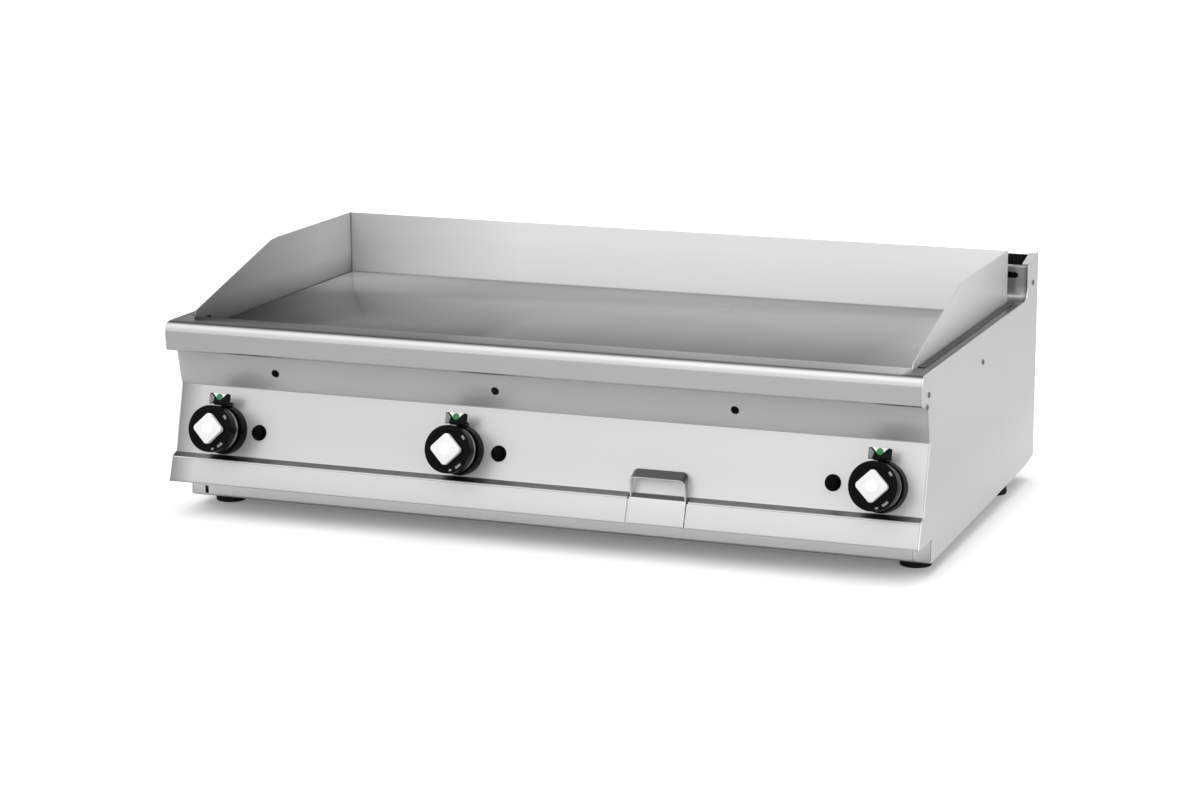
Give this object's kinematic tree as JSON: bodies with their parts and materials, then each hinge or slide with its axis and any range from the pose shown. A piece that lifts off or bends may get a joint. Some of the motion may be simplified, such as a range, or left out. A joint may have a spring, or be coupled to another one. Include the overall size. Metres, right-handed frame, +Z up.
{
  "type": "flat top griddle",
  "caption": "Countertop gas griddle with a wide smooth steel plate, wraparound splash guard, sloping control panel and grease drawer.",
  "frame": {"origin": "middle of the footprint, on the surface that the four feet stand on", "axes": "+X runs right along the front, +Y runs from the front towards the back, +Z is up"},
  "size_m": [1.2, 0.7644, 0.3895],
  "materials": {
    "worktop_steel": "satin brushed along the front",
    "panel_steel": "satin brushed along the front",
    "side_steel": "satin brushed",
    "guard_steel": "satin brushed",
    "plate_steel": "smooth ground cooking surface",
    "drawer_steel": "bright folded sheet",
    "galvanised": "zinc coated sheet",
    "zinc_plated": "zinc plated",
    "valve_brass": "machined",
    "burner_iron": "heat darkened",
    "knob_black": "moulded, fine grain",
    "cap_white": "smooth moulded",
    "bezel_black": "moulded",
    "igniter_black": "moulded",
    "foot_rubber": "moulded"
  },
  "bodies": {
    "root": {"worktop": "worktop_steel", "recess_panel": "panel_steel", "control_panel": "panel_steel", "lower_panel": "panel_steel", "side_panel_left": "side_steel", "side_panel_right": "side_steel", "rear_panel": "side_steel", "base_pan": "panel_steel", "griddle_plate": "plate_steel", "grease_channel": "worktop_steel", "grease_chute": "worktop_steel", "drawer_guide_left": "galvanised", "drawer_guide_right": "galvanised", "combustion_box": "galvanised", "flue_duct": "galvanised", "heat_shield": "galvanised", "gas_manifold": "zinc_plated", "gas_inlet_pipe": "zinc_plated", "gas_valve_1": "valve_brass", "knob_bezel_1": "bezel_black", "igniter_body_1": "igniter_black", "burner_1": "burner_iron", "supply_tube_1": "valve_brass", "pilot_burner_1": "valve_brass", "gas_valve_2": "valve_brass", "knob_bezel_2": "bezel_black", "igniter_body_2": "igniter_black", "burner_2": "burner_iron", "supply_tube_2": "valve_brass", "pilot_burner_2": "valve_brass", "gas_valve_3": "valve_brass", "knob_bezel_3": "bezel_black", "igniter_body_3": "igniter_black", "burner_3": "burner_iron", "supply_tube_3": "valve_brass", "pilot_burner_3": "valve_brass"},
    "guard": {"splash_guard": "guard_steel"},
    "drawer": {"drawer_front": "panel_steel", "drawer_tray": "drawer_steel", "drawer_handle": "panel_steel"},
    "stem_1": {"valve_stem_1": "zinc_plated"},
    "knob_1": {"knob_1": "knob_black", "knob_cap_1": "cap_white"},
    "button_1": {"igniter_button_1": "igniter_black"},
    "stem_2": {"valve_stem_2": "zinc_plated"},
    "knob_2": {"knob_2": "knob_black", "knob_cap_2": "cap_white"},
    "button_2": {"igniter_button_2": "igniter_black"},
    "stem_3": {"valve_stem_3": "zinc_plated"},
    "knob_3": {"knob_3": "knob_black", "knob_cap_3": "cap_white"},
    "button_3": {"igniter_button_3": "igniter_black"},
    "foot_front_left": {"foot_pad_front_left": "foot_rubber", "foot_stud_front_left": "zinc_plated"},
    "foot_front_right": {"foot_pad_front_right": "foot_rubber", "foot_stud_front_right": "zinc_plated"},
    "foot_rear_left": {"foot_pad_rear_left": "foot_rubber", "foot_stud_rear_left": "zinc_plated"},
    "foot_rear_right": {"foot_pad_rear_right": "foot_rubber", "foot_stud_rear_right": "zinc_plated"}
  },
  "joints": [
    {"name": "guard_lift", "type": "slide", "parent": "root", "child": "guard", "axis": [0, 0, 1], "range_m": [0, 0.12]},
    {"name": "drawer_slide", "type": "slide", "parent": "root", "child": "drawer", "axis": [0, -1, 0], "range_m": [0, 0.26]},
    {"name": "knob_turn_1", "type": "hinge", "parent": "root", "child": "stem_1", "pos_m": [-0.5175, -0.31733, 0.13628], "axis": [0, -0.9688, 0.248], "range_deg": [0, 210]},
    {"name": "knob_press_1", "type": "slide", "parent": "stem_1", "child": "knob_1", "axis": [0, 0.9688, -0.248], "range_m": [0, 0.004], "stiffness_N_per_m": 600, "springref_m": -0.003},
    {"name": "igniter_press_1", "type": "slide", "parent": "root", "child": "button_1", "axis": [0, 0.9688, -0.248], "range_m": [0, 0.006], "stiffness_N_per_m": 300, "springref_m": -0.003},
    {"name": "knob_turn_2", "type": "hinge", "parent": "root", "child": "stem_2", "pos_m": [-0.121, -0.31733, 0.13628], "axis": [0, -0.9688, 0.248], "range_deg": [0, 210]},
    {"name": "knob_press_2", "type": "slide", "parent": "stem_2", "child": "knob_2", "axis": [0, 0.9688, -0.248], "range_m": [0, 0.004], "stiffness_N_per_m": 600, "springref_m": -0.003},
    {"name": "igniter_press_2", "type": "slide", "parent": "root", "child": "button_2", "axis": [0, 0.9688, -0.248], "range_m": [0, 0.006], "stiffness_N_per_m": 300, "springref_m": -0.003},
    {"name": "knob_turn_3", "type": "hinge", "parent": "root", "child": "stem_3", "pos_m": [0.535, -0.31733, 0.13628], "axis": [0, -0.9688, 0.248], "range_deg": [0, 210]},
    {"name": "knob_press_3", "type": "slide", "parent": "stem_3", "child": "knob_3", "axis": [0, 0.9688, -0.248], "range_m": [0, 0.004], "stiffness_N_per_m": 600, "springref_m": -0.003},
    {"name": "igniter_press_3", "type": "slide", "parent": "root", "child": "button_3", "axis": [0, 0.9688, -0.248], "range_m": [0, 0.006], "stiffness_N_per_m": 300, "springref_m": -0.003},
    {"name": "foot_turn_front_left", "type": "hinge", "parent": "root", "child": "foot_front_left", "pos_m": [-0.561, -0.2215, 0], "axis": [0, 0, 1], "continuous": true},
    {"name": "foot_turn_front_right", "type": "hinge", "parent": "root", "child": "foot_front_right", "pos_m": [0.561, -0.2215, 0], "axis": [0, 0, 1], "continuous": true},
    {"name": "foot_turn_rear_left", "type": "hinge", "parent": "root", "child": "foot_rear_left", "pos_m": [-0.561, 0.2395, 0], "axis": [0, 0, 1], "continuous": true},
    {"name": "foot_turn_rear_right", "type": "hinge", "parent": "root", "child": "foot_rear_right", "pos_m": [0.561, 0.2395, 0], "axis": [0, 0, 1], "continuous": true}
  ]
}
